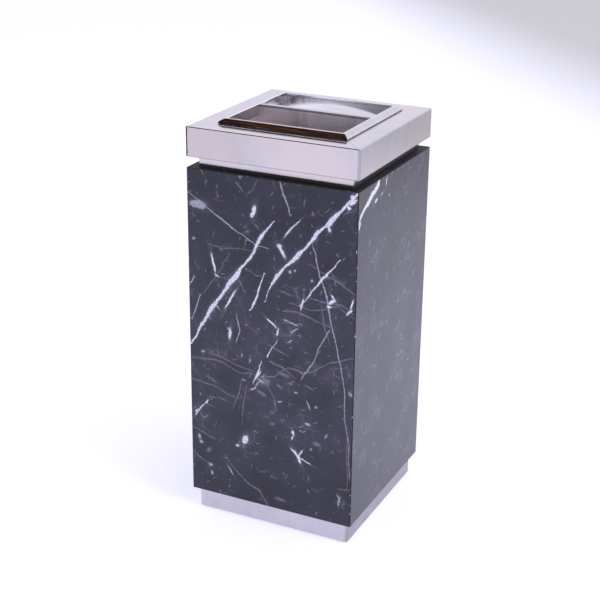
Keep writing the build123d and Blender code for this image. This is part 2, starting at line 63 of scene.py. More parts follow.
class Nodes:
    """A node tree, with short calls for what the recipes below share."""

    def __init__(self, tree):
        self.tree = tree

    def add(self, kind, **settings):
        node = self.tree.nodes.new(kind)
        for key, value in settings.items():
            setattr(node, key, value)
        return node

    def feed(self, socket, value):
        """Link value to the socket if it is another socket, and set it there if it is a constant."""
        if isinstance(value, bpy.types.NodeSocket):
            self.tree.links.new(value, socket)
        else:
            socket.default_value = value

    def maths(self, operation, first, second=0.0, third=0.0):
        node = self.add("ShaderNodeMath", operation=operation)
        for socket, value in zip(node.inputs, (first, second, third)):
            self.feed(socket, value)
        return node.outputs[0]

    def most(self, first, *others):
        """The greatest of the values."""
        for value in others:
            first = self.maths("MAXIMUM", first, value)
        return first

    def product(self, first, *others):
        for value in others:
            first = self.maths("MULTIPLY", first, value)
        return first

    def vector(self, operation, first, second=(0, 0, 0)):
        node = self.add("ShaderNodeVectorMath", operation=operation)
        self.feed(node.inputs[0], first)
        self.feed(node.inputs["Scale"] if operation == "SCALE" else node.inputs[1], second)
        return node.outputs["Value" if operation in ("LENGTH", "DOT_PRODUCT") else "Vector"]

    def axes(self, vector):
        node = self.add("ShaderNodeSeparateXYZ")
        self.feed(node.inputs[0], vector)
        return node.outputs

    def joined(self, x=0.0, y=0.0, z=0.0):
        node = self.add("ShaderNodeCombineXYZ")
        for socket, value in zip(node.inputs, (x, y, z)):
            self.feed(socket, value)
        return node.outputs[0]

    def noise(self, scale, detail=3.0, roughness=0.5, at=None, colour=False):
        """Noise at a vector or, in a material, at the object's own place."""
        node = self.add("ShaderNodeTexNoise")
        self.feed(node.inputs["Vector"], self.place if at is None else at)
        node.inputs["Scale"].default_value = scale
        node.inputs["Detail"].default_value = detail
        node.inputs["Roughness"].default_value = roughness
        return node.outputs["Color" if colour else "Fac"]

    def cells(self, scale, at, feature="F1", dimensions="3D"):
        node = self.add("ShaderNodeTexVoronoi", feature=feature, voronoi_dimensions=dimensions)
        self.feed(node.inputs["Vector"], at)
        node.inputs["Scale"].default_value = scale
        return node.outputs

    def ranged(self, value, low, high, to_low=0.0, to_high=1.0, smooth=False):
        """The value's way from low to high, which may run downwards, as a way from to_low to to_high."""
        node = self.add(
            "ShaderNodeMapRange", interpolation_type="SMOOTHSTEP" if smooth else "LINEAR"
        )
        for key, number in (
            ("Value", value), ("From Min", low), ("From Max", high),
            ("To Min", to_low), ("To Max", to_high),
        ):
            self.feed(node.inputs[key], number)
        return node.outputs["Result"]

    def line(self, offset, edge, core, strength):
        """A line where the offset is near 0: its strength out to the core, and nothing past the edge."""
        return self.ranged(self.maths("ABSOLUTE", offset), edge, core, 0.0, strength)

    def mixed(self, share, first, second):
        node = self.add("ShaderNodeMix", data_type="RGBA")
        self.feed(node.inputs[0], share)
        for socket, value in ((node.inputs[6], first), (node.inputs[7], second)):
            self.feed(socket, (*value, 1.0) if isinstance(value, tuple) else value)
        return node.outputs[2]

    def curve(self, value, points):
        """A curve through the points, sorted by their first number; both numbers run from 0 to 1."""
        node = self.add("ShaderNodeFloatCurve")
        self.feed(node.inputs["Value"], value)
        line = node.mapping.curves[0]
        for _ in points[2:]:
            line.points.new(0.5, 0.5)
        for knot, spot in zip(line.points, points):
            knot.location = spot
            knot.handle_type = "VECTOR"
        node.mapping.extend = "HORIZONTAL"
        node.mapping.update()
        return node.outputs[0]

    def local(self, vector, centre, turn, size):
        """The vector as seen from a centre, turned by an angle and measured in units of size."""
        node = self.add("ShaderNodeMapping", vector_type="TEXTURE")
        self.feed(node.inputs["Vector"], vector)
        node.inputs["Location"].default_value = (*centre, 0)
        node.inputs["Rotation"].default_value = (0, 0, turn)
        node.inputs["Scale"].default_value = (*size, UNBOUNDED)
        return node.outputs[0]


class Recipe(Nodes):
    """A new material, which starts with its shader and the object's own place in metres."""

    def __init__(self, name):
        self.material = bpy.data.materials.new(name)
        self.material.use_nodes = True
        super().__init__(self.material.node_tree)
        self.shader = self.tree.nodes["Principled BSDF"]
        self.place = self.add("ShaderNodeTexCoord").outputs["Object"]

    def stretched(self, along, ratio):
        """The place squeezed along one axis, so that a noise on it runs in streaks that way."""
        squeeze = [1.0, 1.0, 1.0]
        squeeze["xyz".index(along)] = ratio
        return self.vector("MULTIPLY", self.place, tuple(squeeze))

    def bumped(self, height, strength, distance):
        node = self.add("ShaderNodeBump")
        node.inputs["Strength"].default_value = strength
        node.inputs["Distance"].default_value = distance
        self.feed(node.inputs["Height"], height)
        self.feed(self.shader.inputs["Normal"], node.outputs[0])

    def finish(self, colour, roughness, **constants):
        """Feed colour and roughness, and set each other named input to its constant."""
        self.feed(self.shader.inputs["Base Color"], colour)
        self.feed(self.shader.inputs["Roughness"], roughness)
        for key, value in constants.items():
            self.shader.inputs[key.replace("_", " ")].default_value = value
        return self.material


def shaded(tint, *factors):
    """The tint with all its parts scaled by one factor, or each part by its own."""
    factors = factors if len(factors) == 3 else factors * 3
    return tuple(factor * part for factor, part in zip(factors, tint))


# ---- steel ---------------------------------------------------------------------------------------

CAP_SIDE, _, CAP_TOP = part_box("lid_cap")[1]
CAP_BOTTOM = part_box("lid_cap")[0][2]
CAP_CORNER = 2 * CAP_SIDE - 0.0032  # |x| + |y| where the strip along an upright corner starts
BUTT_JOINT = -0.032  # x of the joint in the front strip of the cap's top
RIM_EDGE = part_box("insert_rim")[1][0]
PAN_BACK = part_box("ash_pan")[1][1]
PLINTH_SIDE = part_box("plinth_skirt")[1][0]
PLINTH_CORNER = 2 * PLINTH_SIDE

CAP_TINT = (0.60, 0.575, 0.61)
RING_TINT = (0.56, 0.545, 0.60)
PLINTH_TINT = (0.56, 0.55, 0.61)
# A lit copy of the satin steel: a tint paler than the cap's, as painted light inside the litter mouth and
# the pan's well.
INNER_LIT_TINT = (0.92, 0.88, 0.94)
TAB_TINT = (0.66, 0.62, 0.69)
RIM_TINT = (0.76, 0.735, 0.77)
# A shaded copy of the polished steel: a tint darker than the rim's, as painted shade on the divider bar.
DIVIDER_SHADED_TINT = (0.49, 0.472, 0.517)
PAN_TINT = (0.70, 0.675, 0.71)
# The dark colour of satin marks: grime and joint lines, and also painted shade and painted shadow on the
# cap and plinth.
GRIME_AND_SHADE = (0.05, 0.035, 0.035)
# The brown of polished marks: tarnish streaks with painted shade on the ash pan.
TARNISH_AND_SHADE = (0.16, 0.12, 0.10)


def satin_steel(name, tint, rough, stained=0.8, marks=None):
    """Satin stainless sheet: short brush streaks, slow waves, warm stains and pale smudges.

    Marks is a function that draws grime, joint lines or painted shade and reflections on the sheet, as 1
    where it is dark and 0 off it.
    """
    r = Recipe(name)
    streaks = r.noise(900, 2, 0.6, at=r.stretched("x", 0.04))
    mottle = r.noise(38, 4, 0.6)
    cloud = r.noise(6, 2, 0.5)
    shade = r.ranged(r.maths("ADD", streaks, mottle), 0.7, 1.3)
    colour = r.mixed(shade, shaded(tint, 0.86), shaded(tint, 1.02))
    warm = r.ranged(r.noise(11, 2, 0.5), 0.42, 0.62, 0.0, stained)
    colour = r.mixed(warm, colour, shaded(tint, 1.07, 0.97, 0.90))
    smudge = r.ranged(cloud, 0.35, 0.70, 0.0, 0.25)
    colour = r.mixed(smudge, colour, shaded(tint, 1.15))
    roughness = r.ranged(r.maths("ADD", streaks, cloud), 0.6, 1.4, rough - 0.04, rough + 0.06)
    if marks:
        colour = r.mixed(marks(r), colour, GRIME_AND_SHADE)
    r.bumped(r.maths("ADD", streaks, r.maths("MULTIPLY", cloud, 6.0)), 0.06, 0.0006)
    return r.finish(colour, roughness, Metallic=1.0)


def polished_steel(name, tint, rough, marks=None):
    """Mirror-polished stainless with faint wipe marks and slow ripples."""
    r = Recipe(name)
    wipes = r.noise(60, 4, 0.6, at=r.stretched("x", 0.3))
    ripple = r.noise(14, 1, 0.4)
    colour = r.mixed(r.ranged(wipes, 0.4, 0.7), tint, shaded(tint, 0.88))
    if marks:
        colour = r.mixed(marks(r), colour, TARNISH_AND_SHADE)
    roughness = r.ranged(wipes, 0.35, 0.75, rough, rough + 0.10)
    r.bumped(ripple, 0.12, 0.002)
    return r.finish(colour, roughness, Metallic=1.0)


def cap_marks(r):
    """Dark lines where the cap's sheets meet or fold and along its lower edge, painted shadow just outside
    the rim, painted dark reflections down the left corners, painted shade on the front's left.
    """
    x, y, z = r.axes(r.place)
    beside = r.maths("ABSOLUTE", x)
    ahead = r.maths("ABSOLUTE", y)
    left_half = r.maths("LESS_THAN", x, 0.0)
    front_half = r.maths("LESS_THAN", y, 0.0)

    past_rim = r.maths("SUBTRACT", r.maths("MAXIMUM", beside, ahead), RIM_EDGE)
    on_top = r.maths("GREATER_THAN", z, CAP_TOP - 0.0003)
    on_sheet = r.product(on_top, r.maths("GREATER_THAN", past_rim, 0.0))
    mitre = r.line(r.maths("SUBTRACT", beside, ahead), 0.0008, 0.0002, 0.55)
    butt = r.line(r.maths("SUBTRACT", x, BUTT_JOINT), 0.0006, 0.0002, 0.4)
    # Painted shadow: a dark line on the top just outside the rim, where the rim overhangs the cap.
    gap = r.ranged(past_rim, 0.0022, 0.0008, 0.0, 0.95)
    joint_lines_and_rim_shadow = r.product(on_sheet, r.most(mitre, r.product(butt, front_half), gap))

    lower_edge = r.ranged(z, CAP_BOTTOM + 0.0011, CAP_BOTTOM + 0.0006, 0.0, 0.65)
    corner = r.maths("ADD", beside, ahead)
    fold = r.product(r.ranged(corner, CAP_CORNER - 0.0006, CAP_CORNER, 0.0, 0.34), front_half)
    # Painted reflection: a wavy dark band down the left corners of the cap.
    wavy_corner = r.maths("ADD", corner, r.ranged(r.noise(45, 2, 0.5), 0.3, 0.7, -0.0012, 0.0012))
    tone_patches = r.product(r.ranged(wavy_corner, CAP_CORNER - 0.0008, CAP_CORNER, 0.0, 0.95), left_half)
    # Painted shade: the front darker towards its left.
    on_front = r.maths("LESS_THAN", y, 0.0005 - CAP_SIDE)
    painted_shade = r.product(r.ranged(x, 0.02, -0.07, 0.0, 0.13), on_front)
    return r.most(joint_lines_and_rim_shadow, lower_edge, fold, tone_patches, painted_shade)


def inner_drags(r):
    """Upright drag marks and duller patches on the walls of the litter mouth and the pan's well."""
    return r.ranged(r.noise(30, 3, 0.6, at=r.stretched("z", 0.25)), 0.46, 0.66, 0.0, 0.34)


def pan_streaks_and_shade(r):
    """Brownish upright streaks and painted shade on the left part of the ash pan's back wall, darker
    towards the left.
    """
    x, y, _ = r.axes(r.place)
    on_wall = r.maths("GREATER_THAN", y, PAN_BACK - 0.0016)
    # Painted shade: the streaks deepen towards the wall's left end.
    on_left = r.ranged(x, -0.015, -0.05)
    streaks = r.ranged(r.noise(55, 3, 0.6, at=r.stretched("z", 0.3)), 0.36, 0.62, 0.15, 0.75)
    return r.product(on_wall, on_left, streaks)


def plinth_shade_and_smudges(r):
    """Marks on the plinth: painted shade on the right side, and smudges low down near the corners."""
    x, y, z = r.axes(r.place)
    blotch = r.noise(26, 4, 0.65)
    # Painted shade: the right side darker, in blotches.
    on_right = r.ranged(x, PLINTH_SIDE - 0.006, PLINTH_SIDE - 0.001, 0.0, 0.42)
    painted_shade = r.product(on_right, r.ranged(blotch, 0.3, 0.7, 0.85, 1.1))
    corner = r.maths("ADD", r.maths("ABSOLUTE", x), r.maths("ABSOLUTE", y))
    near_corner = r.ranged(corner, PLINTH_CORNER - 0.0416, PLINTH_CORNER - 0.0016)
    near_floor = r.ranged(z, 0.030, 0.006)
    smudge = r.product(near_corner, near_floor, r.ranged(blotch, 0.50, 0.66, 0.0, 0.45))
    return r.most(smudge, painted_shade)


# ---- stone ---------------------------------------------------------------------------------------

# A slab is drawn in fractions of itself, (0, 0) at its top left corner and (1, 1) at its bottom right
# one, seen from outside. A vein is a line of (across, down, width in millimetres) that never doubles
# back across, or down if it is an upright. A stroke is (across, down, length, degrees above level, width).

SLAB_LOW, SLAB_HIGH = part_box("marble_front")
SLAB_WIDTH = (SLAB_HIGH[0] - SLAB_LOW[0]) * 1000
SLAB_HEIGHT = (SLAB_HIGH[2] - SLAB_LOW[2]) * 1000

FRONT = {
    "bright": {
        "veins": [
            [(0.0, 0.535, 2.5), (0.05, 0.487, 3.5), (0.11, 0.430, 6), (0.14, 0.403, 8), (0.18, 0.376, 4.5),
             (0.235, 0.335, 6), (0.30, 0.290, 7.5), (0.345, 0.257, 2.5), (0.39, 0.228, 4.5),
             (0.44, 0.172, 7), (0.47, 0.150, 3), (0.52, 0.118, 1)],
            [(0.47, 0.354, 1), (0.51, 0.297, 4), (0.53, 0.279, 7), (0.59, 0.239, 3), (0.66, 0.204, 7),
             (0.70, 0.181, 3), (0.74, 0.159, 4), (0.77, 0.135, 8), (0.815, 0.108, 2), (0.852, 0.091, 9),
             (0.90, 0.062, 4), (0.95, 0.032, 4), (1.0, 0.004, 4)],
            [(0.68, 0.346, 1), (0.787, 0.274, 3), (0.82, 0.252, 4), (0.863, 0.225, 2), (0.91, 0.192, 1)],
            [(0.378, 0.388, 1), (0.42, 0.346, 3.5), (0.445, 0.307, 3), (0.464, 0.271, 1)],
        ],
        "uprights": [
            [(0.40, 0.61, 1), (0.425, 0.577, 3), (0.45, 0.537, 1)],
            [(0.485, 0.517, 2), (0.51, 0.492, 1), (0.545, 0.467, 1)],
        ],
        "strokes": [
            (0.405, 0.094, 20, 80, 7), (0.395, 0.107, 10, 90, 6),
            (0.345, 0.797, 17, 70, 10), (0.30, 0.82, 5, 0, 5),
            (0.26, 0.367, 42, 60, 4), (0.567, 0.195, 24, -58, 5), (0.555, 0.182, 10, -20, 7),
            (0.615, 0.137, 32, 50, 2.5), (0.65, 0.117, 26, 50, 2), (0.842, 0.113, 9, -70, 6),
            (0.975, 0.028, 16, 40, 6), (0.95, 0.045, 8, -50, 6), (0.97, 0.015, 9, 70, 5),
            (0.255, 0.472, 22, 86, 5), (0.155, 0.267, 34, -78, 4), (0.175, 0.302, 10, -30, 2.5),
            (0.868, 0.318, 15, 30, 4.5), (0.874, 0.308, 15, -50, 3.5), (0.852, 0.332, 9, 10, 4),
            (0.968, 0.338, 16, 45, 3.5), (0.982, 0.315, 18, 75, 3), (0.69, 0.342, 22, 80, 3),
            (0.51, 0.412, 26, -38, 3), (0.55, 0.437, 14, 84, 3.5), (0.675, 0.812, 26, -62, 5),
            (0.69, 0.802, 20, 60, 2.5), (0.72, 0.82, 26, -20, 2), (0.648, 0.795, 12, -45, 2.5),
            (0.645, 0.74, 10, -68, 4), (0.642, 0.754, 8, 62, 3), (0.10, 0.702, 12, 62, 2.5),
            (0.06, 0.727, 38, 55, 2), (0.43, 0.582, 20, 62, 3), (0.035, 0.737, 10, 50, 2.5),
        ],
    },
    "pale": {
        "veins": [
            [(0.0, 0.067, 1.2), (0.11, 0.105, 1.3), (0.21, 0.136, 2.6), (0.315, 0.165, 1.6),
             (0.42, 0.191, 1.3), (0.49, 0.197, 0.8)],
            [(0.54, -0.03, 1.5), (0.563, 0.012, 2), (0.60, 0.057, 2), (0.62, 0.092, 1.2)],
            [(0.855, 0.402, 1.2), (0.785, 0.472, 2), (0.757, 0.517, 2), (0.70, 0.562, 1)],
            [(0.03, 0.317, 2), (0.0, 0.347, 2)],
            [(0.02, 0.447, 1), (0.045, 0.407, 2), (0.07, 0.367, 1)],
        ],
        "uprights": [
            [(0.745, 0.15, 1), (0.768, 0.197, 1.6), (0.78, 0.225, 1.6), (0.81, 0.272, 1.8),
             (0.845, 0.327, 3), (0.872, 0.399, 1.6), (0.91, 0.472, 1.5), (0.948, 0.562, 1.2),
             (0.953, 0.642, 1.1), (0.962, 0.682, 1.2), (0.985, 0.742, 0.9), (0.99, 0.842, 0.7)],
            [(0.30, 0.412, 1), (0.315, 0.457, 2), (0.29, 0.492, 1)],
        ],
        "strokes": [
            (0.065, 0.102, 31, -4, 14), (0.985, 0.582, 8, -40, 6), (0.735, 0.642, 16, -62, 2.5),
            (0.785, 0.642, 5, 0, 4), (0.56, 0.652, 9, 20, 3), (0.05, 0.822, 9, -80, 6),
            (0.06, 0.837, 8, -30, 5), (0.12, 0.907, 8, 0, 6), (0.125, 0.932, 8, -80, 4),
            (0.74, 0.702, 11, -12, 5), (0.85, 0.727, 10, 62, 3), (0.757, 0.777, 4, 0, 4),
            (0.93, 0.922, 18, 80, 3), (0.93, 0.912, 16, -70, 2), (0.25, 0.912, 24, -58, 2.5),
            (0.64, 0.402, 20, -12, 3), (0.65, 0.422, 18, 40, 2.5), (0.60, 0.397, 10, 0, 2.5),
            (0.17, 0.392, 20, -52, 2), (0.12, 0.432, 12, -45, 1.6), (0.62, 0.457, 10, 30, 2.5),
            (0.08, 0.542, 6, 20, 4), (0.33, 0.532, 8, 84, 2), (0.38, 0.542, 8, 84, 2),
            (0.06, 0.682, 6, -60, 2), (0.66, 0.612, 6, 0, 3), (0.40, 0.627, 14, 30, 3),
            (0.425, 0.61, 14, 60, 3), (0.445, 0.597, 12, -20, 4), (0.46, 0.582, 12, 50, 2),
            (0.34, 0.607, 8, 0, 2.5), (0.75, 0.267, 5, 0, 5), (0.62, 0.252, 6, -60, 5),
            (0.65, 0.247, 4, 0, 4), (0.245, 0.457, 4, 0, 4), (0.035, 0.202, 5, 0, 4),
        ],
    },
    "faint": {
        "veins": [
            [(0.0, 0.572, 1.6), (0.05, 0.567, 1.8), (0.15, 0.562, 2), (0.21, 0.567, 2), (0.32, 0.587, 2),
             (0.38, 0.582, 1.8), (0.43, 0.585, 1.8), (0.53, 0.577, 2), (0.61, 0.537, 2.4),
             (0.70, 0.547, 2), (0.757, 0.537, 2), (0.85, 0.502, 2), (0.95, 0.482, 2), (1.0, 0.472, 1.6)],
            [(0.13, 0.547, 1), (0.20, 0.55, 2), (0.31, 0.567, 2), (0.44, 0.577, 1)],
            [(0.73, 0.218, 1.6), (0.80, 0.237, 1.6), (0.90, 0.26, 2.4), (1.0, 0.287, 2.2)],
            [(0.126, 0.214, 1.4), (0.22, 0.219, 1.8), (0.30, 0.214, 1.6), (0.407, 0.207, 1)],
            [(0.21, 0.862, 1), (0.275, 0.902, 2), (0.36, 0.937, 2), (0.44, 0.957, 3), (0.53, 1.03, 2)],
            [(0.0, 0.637, 1.5), (0.08, 0.642, 2.6), (0.16, 0.647, 2), (0.24, 0.662, 2.6), (0.31, 0.665, 1)],
            [(0.0, 0.792, 1), (0.08, 0.807, 2.4), (0.15, 0.82, 1)],
            [(0.0, 0.872, 1.2), (0.05, 0.889, 2), (0.12, 0.907, 1)],
            [(0.48, 0.482, 1), (0.55, 0.492, 3), (0.62, 0.502, 1)],
            [(0.50, 0.532, 2), (0.58, 0.542, 4), (0.66, 0.567, 1)],
            [(0.09, 0.362, 1), (0.20, 0.282, 1.6), (0.24, 0.242, 1)],
            [(0.33, 0.257, 1), (0.42, 0.282, 1.8), (0.47, 0.277, 1)],
            [(0.62, 0.342, 1.4), (0.74, 0.354, 1.8), (0.80, 0.347, 1.8), (0.90, 0.327, 1.8),
             (1.0, 0.357, 1.4)],
            [(0.74, 0.317, 1.4), (0.84, 0.324, 3), (0.93, 0.322, 3), (0.99, 0.342, 2)],
            [(0.58, 0.372, 2), (0.66, 0.367, 3), (0.78, 0.382, 2), (0.86, 0.392, 2)],
        ],
        "uprights": [
            [(0.33, 0.602, 1), (0.30, 0.662, 2), (0.27, 0.702, 1)],
            [(0.36, 0.622, 1), (0.335, 0.682, 2.4), (0.33, 0.742, 1)],
            [(0.48, 0.602, 1), (0.52, 0.637, 2), (0.54, 0.682, 1)],
            [(0.97, 0.682, 1), (0.975, 0.782, 1.6), (0.98, 0.882, 1)],
            [(0.80, 0.327, 1), (0.82, 0.362, 2), (0.83, 0.402, 2), (0.86, 0.442, 1)],
            [(0.42, 0.012, 1), (0.40, 0.037, 1.2), (0.36, 0.052, 1)],
        ],
        "strokes": [
            (0.12, 0.622, 16, -12, 3), (0.15, 0.63, 14, -20, 2.5), (0.20, 0.682, 18, -14, 2.5),
            (0.12, 0.712, 18, -14, 2), (0.14, 0.682, 14, 0, 2), (0.09, 0.752, 10, 30, 3),
            (0.72, 0.482, 8, 0, 3), (0.585, 0.562, 24, -10, 6), (0.63, 0.582, 14, 30, 3),
            (0.74, 0.587, 16, -20, 2.5), (0.70, 0.562, 14, 62, 2.5), (0.47, 0.597, 22, 10, 12),
            (0.56, 0.602, 12, -30, 5), (0.45, 0.637, 18, -30, 6), (0.96, 0.882, 22, 6, 2.5),
            (0.79, 0.757, 14, -6, 7), (0.52, 0.727, 10, 20, 5), (0.11, 0.857, 12, 60, 7),
            (0.42, 0.137, 14, -50, 2.5), (0.365, 0.157, 16, 24, 2.5), (0.355, 0.187, 16, 76, 2.5),
            (0.70, 0.052, 12, 80, 2.5), (0.315, 0.032, 16, -40, 3), (0.33, 0.002, 9, 50, 3),
            (0.09, 0.002, 18, -66, 2.5), (0.12, 0.032, 5, 0, 3.5), (0.32, 0.312, 20, -62, 2.5),
            (0.70, 0.312, 18, 86, 2), (0.60, 0.317, 26, -14, 2.5), (0.10, 0.967, 7, 30, 3),
            (0.24, 0.967, 8, 70, 3), (0.57, 0.967, 18, -10, 5), (0.83, 0.252, 14, 10, 5),
        ],
    },
}

RIGHT = {
    "bright": {
        "veins": [
            [(0.0, 0.09, 2), (0.03, 0.073, 6), (0.09, 0.052, 5), (0.13, 0.045, 9), (0.165, 0.03, 7),
             (0.23, 0.018, 7), (0.262, 0.006, 11), (0.285, -0.03, 8)],
        ],
        "strokes": [
            (0.225, 0.052, 12, 20, 5), (0.30, 0.045, 10, 30, 2), (0.02, 0.095, 14, 60, 5),
            (0.36, 0.018, 18, 80, 2.5),
        ],
    },
    "pale": {"strokes": [(0.41, 0.062, 6, 80, 3), (0.655, 0.09, 12, 30, 2)]},
    "faint": {
        "strokes": [
            (0.50, 0.12, 14, 80, 3), (0.16, 0.16, 12, 70, 5), (0.42, 0.30, 14, 70, 4),
            (0.73, 0.26, 12, 40, 4), (0.25, 0.36, 20, 60, 3), (0.82, 0.36, 14, 70, 4),
            (0.33, 0.47, 12, 30, 5), (0.59, 0.41, 10, 0, 5), (0.12, 0.70, 14, 75, 4),
            (0.48, 0.66, 16, 50, 3), (0.79, 0.63, 12, 20, 4), (0.36, 0.90, 14, 60, 4),
            (0.68, 0.86, 12, 30, 4), (0.90, 0.78, 16, 70, 3), (0.55, 0.95, 12, 10, 4),
        ],
    },
}

BACK = {
    "bright": {
        "veins": [
            [(0.0, 0.34, 2), (0.10, 0.30, 4), (0.22, 0.262, 6), (0.33, 0.21, 4), (0.41, 0.18, 9),
             (0.52, 0.12, 5), (0.60, 0.085, 3), (0.71, 0.03, 4), (0.76, -0.03, 3)],
            [(0.30, 0.83, 1), (0.41, 0.755, 4), (0.50, 0.72, 7), (0.60, 0.65, 4), (0.72, 0.60, 8),
             (0.84, 0.52, 5), (0.93, 0.475, 3), (1.0, 0.43, 5)],
            [(0.55, 0.42, 1), (0.66, 0.35, 3), (0.78, 0.285, 2), (0.86, 0.25, 1)],
        ],
        "strokes": [
            (0.17, 0.45, 26, 60, 3), (0.24, 0.52, 18, -70, 4), (0.62, 0.22, 14, 20, 8),
            (0.13, 0.67, 12, 40, 6), (0.80, 0.74, 24, 58, 3), (0.88, 0.12, 16, -40, 4),
            (0.44, 0.33, 20, 75, 3), (0.20, 0.90, 14, 0, 7), (0.57, 0.88, 18, -60, 3),
        ],
    },
    "pale": {
        "veins": [
            [(0.08, -0.03, 1), (0.24, 0.06, 2), (0.40, 0.10, 2), (0.58, 0.17, 2), (0.80, 0.21, 1.6),
             (1.0, 0.27, 1)],
            [(0.0, 0.61, 1), (0.14, 0.585, 2), (0.30, 0.60, 2), (0.47, 0.57, 2), (0.70, 0.56, 1)],
        ],
        "uprights": [
            [(0.36, 0.20, 1), (0.33, 0.30, 2), (0.37, 0.42, 2), (0.34, 0.55, 2), (0.39, 0.68, 1)],
            [(0.86, 0.50, 1), (0.90, 0.62, 2), (0.87, 0.75, 2), (0.91, 0.90, 1)],
        ],
        "strokes": [
            (0.70, 0.43, 12, 10, 4), (0.06, 0.15, 14, 70, 3), (0.48, 0.48, 10, -30, 4),
            (0.66, 0.80, 16, 30, 3), (0.93, 0.36, 12, 80, 3), (0.27, 0.72, 10, 0, 5),
        ],
    },
    "faint": {
        "veins": [
            [(0.0, 0.77, 1), (0.17, 0.80, 2), (0.36, 0.78, 2), (0.56, 0.82, 2), (0.82, 0.86, 1)],
            [(0.05, 0.24, 1), (0.26, 0.36, 2), (0.52, 0.47, 2), (0.79, 0.50, 1)],
            [(0.44, 0.94, 1), (0.63, 0.92, 3), (0.88, 0.965, 1)],
        ],
        "strokes": [(0.14, 0.53, 22, 14, 6), (0.52, 0.25, 20, -30, 5), (0.76, 0.68, 18, 40, 5)],
    },
}

LEFT = {
    "bright": {
        "veins": [
            [(0.26, 1.03, 3), (0.36, 0.93, 5), (0.45, 0.90, 9), (0.57, 0.81, 5), (0.66, 0.77, 3),
             (0.76, 0.69, 6), (0.88, 0.63, 4), (1.0, 0.575, 4)],
            [(0.08, 0.36, 1), (0.20, 0.29, 4), (0.29, 0.262, 6), (0.42, 0.19, 3), (0.51, 0.155, 2),
             (0.62, 0.09, 1)],
        ],
        "strokes": [
            (0.72, 0.23, 22, 62, 3), (0.81, 0.34, 16, -74, 4), (0.14, 0.58, 18, 40, 5),
            (0.46, 0.47, 26, 54, 3), (0.22, 0.80, 12, 0, 6), (0.90, 0.88, 20, 66, 3),
            (0.60, 0.59, 12, 10, 7), (0.05, 0.12, 14, -40, 4),
        ],
    },
    "pale": {
        "veins": [
            [(0.0, 0.47, 1), (0.18, 0.44, 2), (0.39, 0.40, 2), (0.63, 0.42, 2), (0.86, 0.39, 2),
             (1.0, 0.40, 1)],
        ],
        "uprights": [
            [(0.55, 0.0, 1), (0.59, 0.13, 2), (0.56, 0.27, 2), (0.61, 0.41, 2), (0.57, 0.54, 1)],
            [(0.17, 0.62, 1), (0.13, 0.74, 2), (0.18, 0.88, 2), (0.15, 1.0, 1)],
        ],
        "strokes": [
            (0.34, 0.63, 14, 24, 4), (0.78, 0.52, 10, -20, 4), (0.27, 0.12, 12, 64, 3),
            (0.88, 0.17, 14, 10, 4), (0.69, 0.93, 12, 50, 3),
        ],
    },
    "faint": {
        "veins": [
            [(0.0, 0.22, 1), (0.28, 0.20, 2), (0.61, 0.24, 2), (1.0, 0.21, 1)],
            [(0.10, 0.69, 1), (0.37, 0.72, 2), (0.64, 0.70, 2), (0.92, 0.75, 1)],
        ],
        "strokes": [(0.42, 0.55, 22, 20, 6), (0.80, 0.08, 18, -30, 5), (0.31, 0.87, 18, 40, 5)],
    },
}

# How white each class of lines is, and how soft its edges are.
STONE_CLASSES = {"bright": (0.95, 0.26), "pale": (0.46, 0.42), "faint": (0.15, 0.7)}
# Scattered flecks: the size of a cell, a fleck's length and width in millimetres, the share of the
# cells that hold one, and how white it is.
FLECKS = (
    (21.0, 8.0, 1.5, 0.24, 0.26),
    (13.0, 4.0, 1.1, 0.16, 0.16),
    (34.0, 14.0, 1.6, 0.16, 0.14),
)
# Webs of hairlines: the size of a mesh in millimetres, the patch level that they start at, whiteness.
WEBS = ((26.0, 0.52, 0.13), (11.0, 0.60, 0.09))

VEIN_WIDEST = 16.0  # millimetres
VEIN_TIP = 0.008  # how far a vein tapers past its last point
THINNEST = 1e-7  # keeps a vein's half width from 0
FAR = 9.0  # the nearness of a point that lies on no line
WEIGHTLESS = 1e-9


def vein_reach(r, here, there, points, upright):
    """How far the point is from a vein's middle, in half widths of the vein."""
    points = sorted((p[1], p[0], p[2]) if upright else tuple(p) for p in points)
    run, rise = (SLAB_HEIGHT, SLAB_WIDTH) if upright else (SLAB_WIDTH, SLAB_HEIGHT)
    along = (points[-1][0] - points[0][0]) * run
    slope = along / math.hypot(along, (points[-1][1] - points[0][1]) * rise)
    first, last = points[0][0] - VEIN_TIP, points[-1][0] + VEIN_TIP
    widths = [(first, 0.0)] + [(p[0], p[2] / VEIN_WIDEST) for p in points] + [(last, 0.0)]
    course = r.curve(here, [(p[0], p[1]) for p in points])
    width = r.curve(here, [(min(max(place, 0.0), 1.0), wide) for place, wide in widths])
    gap = r.maths("ABSOLUTE", r.maths("SUBTRACT", there, course))
    half_width = r.maths("MULTIPLY_ADD", width, VEIN_WIDEST / 2 / rise / slope, THINNEST)
    from_middle = r.maths("ABSOLUTE", r.maths("SUBTRACT", here, (first + last) / 2))
    beyond_ends = r.maths("GREATER_THAN", from_middle, (last - first) / 2)
    return r.maths("MULTIPLY_ADD", beyond_ends, FAR, r.maths("DIVIDE", gap, half_width))


